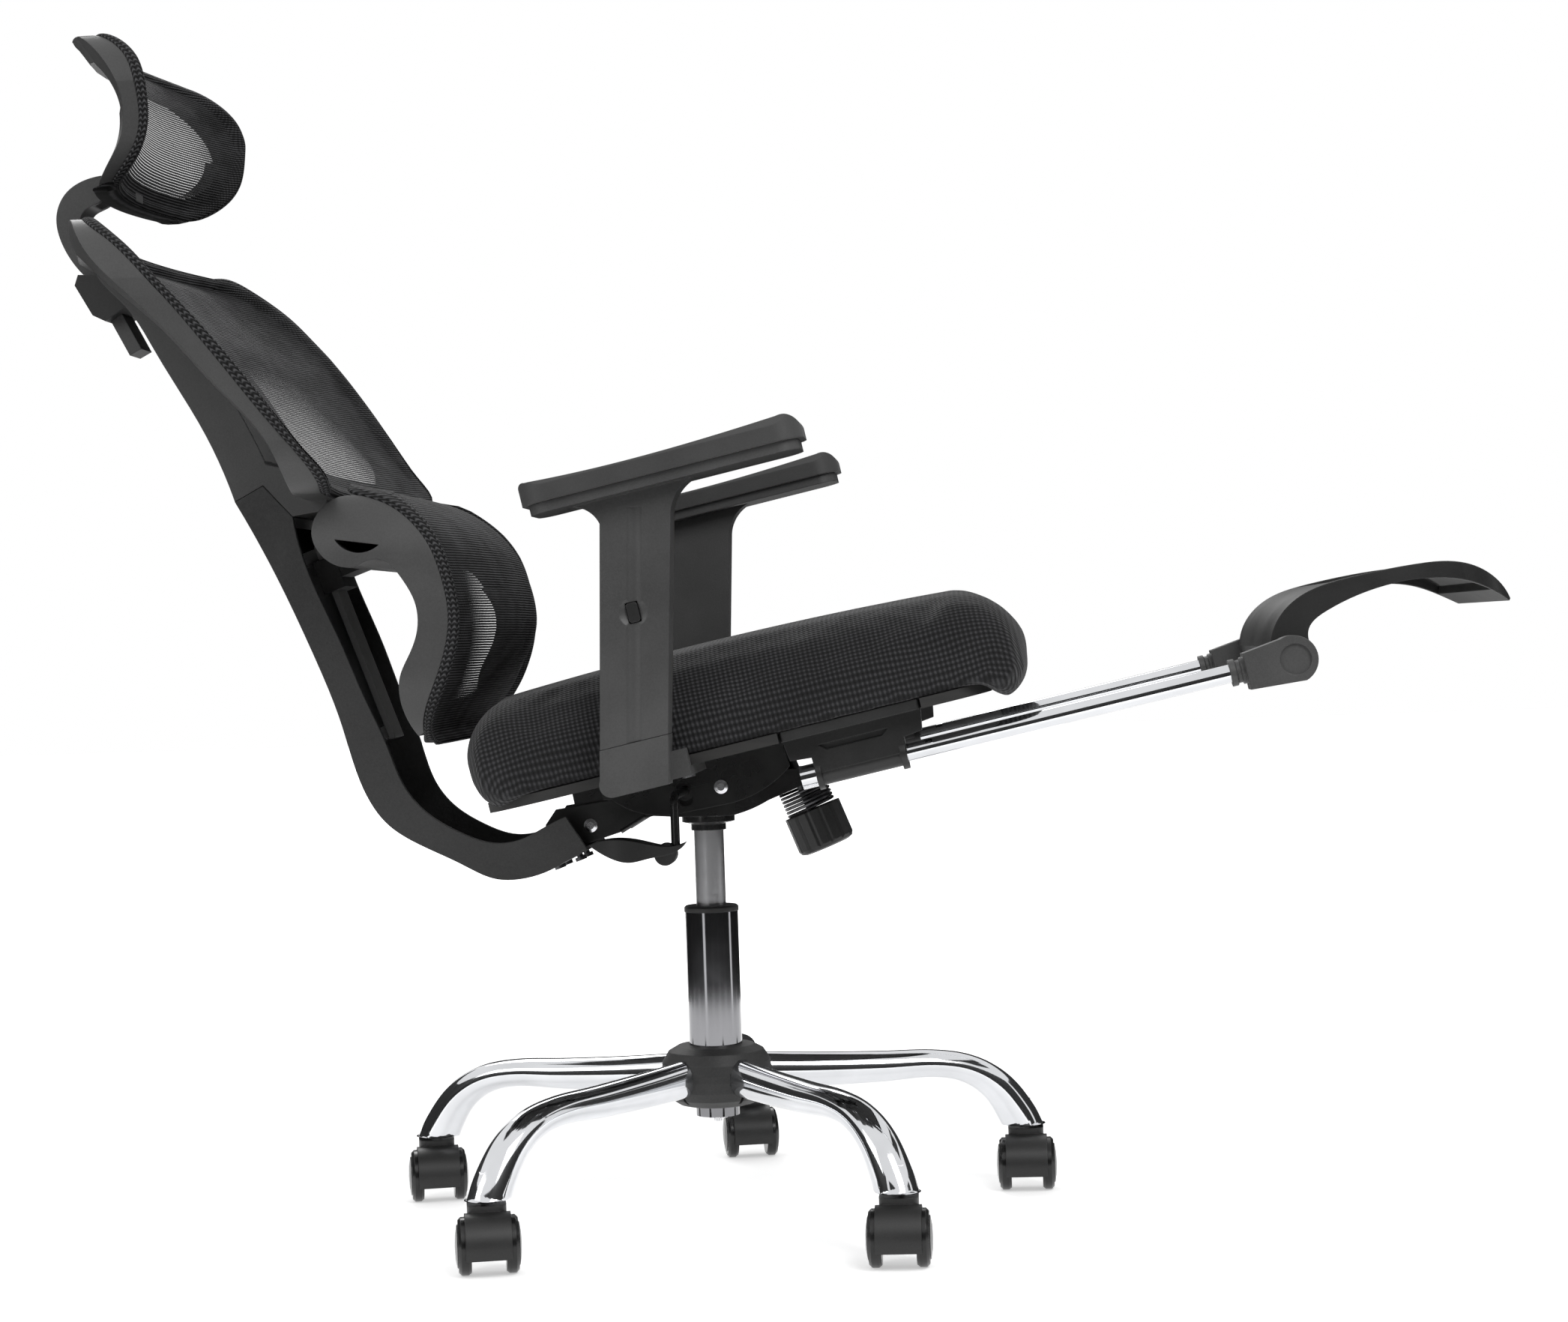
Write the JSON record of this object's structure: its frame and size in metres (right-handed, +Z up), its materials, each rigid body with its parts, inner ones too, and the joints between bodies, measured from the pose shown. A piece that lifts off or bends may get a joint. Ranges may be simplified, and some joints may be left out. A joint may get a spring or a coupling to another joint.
{
  "type": "reclining office chair with footrest",
  "caption": "High-backed mesh office chair, leaned back, with chromed five-legged base, armrests, lumbar support, headrest and slide-out footrest.",
  "frame": {"origin": "on the floor, under the axis of the gas lift", "axes": "+X towards the front of the chair, +Y towards the sitter's left, +Z up"},
  "size_m": [1.3352, 0.6295, 1.1192],
  "materials": {
    "chrome": "polished",
    "brushed_steel": "brushed",
    "bright_steel": "bright",
    "black_steel": "semi-gloss",
    "black_plastic": "matte",
    "gloss_black": "glossy",
    "dark_grey_plastic": "satin",
    "grey_plastic": "satin",
    "soft_black": "soft",
    "knit_mesh": "knitted",
    "seat_fabric": "knitted",
    "board": "raw"
  },
  "bodies": {
    "base": {"base_legs": "chrome", "hub_cover": "black_plastic", "outer_tube": "chrome", "tube_collar": "black_plastic", "rod_clip_and_bearing": "bright_steel", "caster_stems": "bright_steel"},
    "lift_rod": {"piston_rod": "bright_steel"},
    "housing": {"gas_cylinder": "brushed_steel", "tilt_housing": "black_steel", "tension_spring": "bright_steel"},
    "lever_bush": {"lever_bush": "black_plastic"},
    "lever": {"lever_rod": "black_steel", "lever_paddle": "black_plastic"},
    "seat_carrier": {"seat_bracket": "black_steel", "pivot_pins": "bright_steel", "seat_bolts": "bright_steel", "seat_board": "board", "seat_cushion": "seat_fabric", "tension_bolt": "bright_steel", "footrest_guides": "black_plastic", "arm_bases": "dark_grey_plastic"},
    "tension_knob": {"tension_knob": "black_plastic"},
    "arm_left": {"arm_stem_left": "dark_grey_plastic", "arm_pad_left": "soft_black"},
    "arm_right": {"arm_stem_right": "dark_grey_plastic", "arm_pad_right": "soft_black"},
    "button_left": {"arm_button_left": "black_plastic"},
    "button_right": {"arm_button_right": "black_plastic"},
    "back": {"back_bracket": "black_steel", "link_pin": "bright_steel", "back_bolts": "bright_steel", "back_frame_lower": "gloss_black", "back_frame_upper": "dark_grey_plastic", "back_mesh": "knit_mesh", "lumbar_rail": "grey_plastic", "headrest_clamp": "black_plastic"},
    "lumbar": {"lumbar_slider": "dark_grey_plastic", "lumbar_frame": "dark_grey_plastic", "lumbar_mesh": "knit_mesh"},
    "headrest_arm": {"headrest_arm": "black_plastic"},
    "headrest": {"headrest_frame": "dark_grey_plastic", "headrest_mesh": "knit_mesh"},
    "footrest_slide": {"footrest_tubes": "chrome", "footrest_knuckles": "dark_grey_plastic"},
    "footrest_pad": {"footrest_pad": "gloss_black"},
    "caster_1": {"caster_hood_1": "black_plastic"},
    "wheel_1_left": {"caster_wheel_1_left": "gloss_black"},
    "wheel_1_right": {"caster_wheel_1_right": "gloss_black"},
    "caster_2": {"caster_hood_2": "black_plastic"},
    "wheel_2_left": {"caster_wheel_2_left": "gloss_black"},
    "wheel_2_right": {"caster_wheel_2_right": "gloss_black"},
    "caster_3": {"caster_hood_3": "black_plastic"},
    "wheel_3_left": {"caster_wheel_3_left": "gloss_black"},
    "wheel_3_right": {"caster_wheel_3_right": "gloss_black"},
    "caster_4": {"caster_hood_4": "black_plastic"},
    "wheel_4_left": {"caster_wheel_4_left": "gloss_black"},
    "wheel_4_right": {"caster_wheel_4_right": "gloss_black"},
    "caster_5": {"caster_hood_5": "black_plastic"},
    "wheel_5_left": {"caster_wheel_5_left": "gloss_black"},
    "wheel_5_right": {"caster_wheel_5_right": "gloss_black"}
  },
  "joints": [
    {"name": "caster_swivel_1", "type": "hinge", "parent": "base", "child": "caster_1", "pos_m": [0, 0.305, 0.048], "axis": [0, 0, 1], "continuous": true},
    {"name": "wheel_spin_1_left", "type": "hinge", "parent": "caster_1", "child": "wheel_1_left", "pos_m": [0.00374, 0.28739, 0.025], "axis": [0.9781, 0.2079, 0], "continuous": true},
    {"name": "wheel_spin_1_right", "type": "hinge", "parent": "caster_1", "child": "wheel_1_right", "pos_m": [0.00374, 0.28739, 0.025], "axis": [0.9781, 0.2079, 0], "continuous": true},
    {"name": "caster_swivel_2", "type": "hinge", "parent": "base", "child": "caster_2", "pos_m": [0.29007, 0.09425, 0.048], "axis": [0, 0, 1], "continuous": true},
    {"name": "wheel_spin_2_left", "type": "hinge", "parent": "caster_2", "child": "wheel_2_left", "pos_m": [0.29007, 0.07625, 0.025], "axis": [1, 0, 0], "continuous": true},
    {"name": "wheel_spin_2_right", "type": "hinge", "parent": "caster_2", "child": "wheel_2_right", "pos_m": [0.29007, 0.07625, 0.025], "axis": [1, 0, 0], "continuous": true},
    {"name": "caster_swivel_3", "type": "hinge", "parent": "base", "child": "caster_3", "pos_m": [-0.29007, 0.09425, 0.048], "axis": [0, 0, 1], "continuous": true},
    {"name": "wheel_spin_3_left", "type": "hinge", "parent": "caster_3", "child": "wheel_3_left", "pos_m": [-0.28572, 0.07679, 0.025], "axis": [0.9703, 0.2419, 0], "continuous": true},
    {"name": "wheel_spin_3_right", "type": "hinge", "parent": "caster_3", "child": "wheel_3_right", "pos_m": [-0.28572, 0.07679, 0.025], "axis": [0.9703, 0.2419, 0], "continuous": true},
    {"name": "caster_swivel_4", "type": "hinge", "parent": "base", "child": "caster_4", "pos_m": [0.17927, -0.24675, 0.048], "axis": [0, 0, 1], "continuous": true},
    {"name": "wheel_spin_4_left", "type": "hinge", "parent": "caster_4", "child": "wheel_4_left", "pos_m": [0.17927, -0.26475, 0.025], "axis": [1, 0, 0], "continuous": true},
    {"name": "wheel_spin_4_right", "type": "hinge", "parent": "caster_4", "child": "wheel_4_right", "pos_m": [0.17927, -0.26475, 0.025], "axis": [1, 0, 0], "continuous": true},
    {"name": "caster_swivel_5", "type": "hinge", "parent": "base", "child": "caster_5", "pos_m": [-0.17927, -0.24675, 0.048], "axis": [0, 0, 1], "continuous": true},
    {"name": "wheel_spin_5_left", "type": "hinge", "parent": "caster_5", "child": "wheel_5_left", "pos_m": [-0.17553, -0.26436, 0.025], "axis": [0.9781, 0.2079, 0], "continuous": true},
    {"name": "wheel_spin_5_right", "type": "hinge", "parent": "caster_5", "child": "wheel_5_right", "pos_m": [-0.17553, -0.26436, 0.025], "axis": [0.9781, 0.2079, 0], "continuous": true},
    {"name": "seat_swivel", "type": "hinge", "parent": "base", "child": "lift_rod", "pos_m": [0, 0, 0.101], "axis": [0, 0, 1], "continuous": true},
    {"name": "seat_height", "type": "slide", "parent": "lift_rod", "child": "housing", "axis": [0, 0, 1], "range_m": [-0.06, 0.04]},
    {"name": "seat_tilt", "type": "hinge", "parent": "housing", "child": "seat_carrier", "pos_m": [0.017, 0, 0.403], "axis": [0, 1, 0], "range_deg": [0, 12], "deforming": ["tension_spring"]},
    {"name": "back_recline", "type": "hinge", "parent": "seat_carrier", "child": "back", "pos_m": [-0.1074, 0, 0.3701], "axis": [0, 1, 0], "range_deg": [0, 12.36]},
    {"name": "lever_lift", "type": "hinge", "parent": "housing", "child": "lever_bush", "pos_m": [-0.018, -0.02375, 0.4], "axis": [-1, 0, 0], "range_deg": [0, 8], "stiffness_Nm_per_rad": 1.2},
    {"name": "lever_slide", "type": "slide", "parent": "lever_bush", "child": "lever", "axis": [0, -1, 0], "range_m": [0, 0.014]},
    {"name": "tension_knob_turn", "type": "hinge", "parent": "seat_carrier", "child": "tension_knob", "pos_m": [0.1007, 0, 0.37229], "axis": [0.3665, 0, -0.9304], "range_deg": [-360, 1080]},
    {"name": "armrest_height_left", "type": "slide", "parent": "seat_carrier", "child": "arm_left", "axis": [0.0332, 0, 0.9995], "range_m": [0, 0.07]},
    {"name": "arm_button_press_left", "type": "slide", "parent": "arm_left", "child": "button_left", "axis": [0, -1, 0], "range_m": [0, 0.003], "stiffness_N_per_m": 300},
    {"name": "armrest_height_right", "type": "slide", "parent": "seat_carrier", "child": "arm_right", "axis": [0.0332, 0, 0.9995], "range_m": [0, 0.07]},
    {"name": "arm_button_press_right", "type": "slide", "parent": "arm_right", "child": "button_right", "axis": [0, 1, 0], "range_m": [0, 0.003], "stiffness_N_per_m": 300},
    {"name": "lumbar_height", "type": "slide", "parent": "back", "child": "lumbar", "axis": [-0.34, 0, 0.9404], "range_m": [-0.008, 0.002]},
    {"name": "headrest_height", "type": "slide", "parent": "back", "child": "headrest_arm", "axis": [-0.46, 0, 0.8879], "range_m": [0, 0.035]},
    {"name": "headrest_tilt", "type": "hinge", "parent": "headrest_arm", "child": "headrest", "pos_m": [-0.5586, 0, 0.993], "axis": [0, 1, 0], "range_deg": [-20, 25]},
    {"name": "footrest_extend", "type": "slide", "parent": "seat_carrier", "child": "footrest_slide", "axis": [0.9781, 0, 0.2079], "range_m": [-0.19, 0]},
    {"name": "footrest_flip", "type": "hinge", "parent": "footrest_slide", "child": "footrest_pad", "pos_m": [0.53471, 0, 0.50691], "axis": [0, 1, 0], "range_deg": [0, 100]}
  ],
  "couplings": [
    {"joint": "back_recline", "follows": "seat_tilt", "ratio": 1.0283}
  ]
}
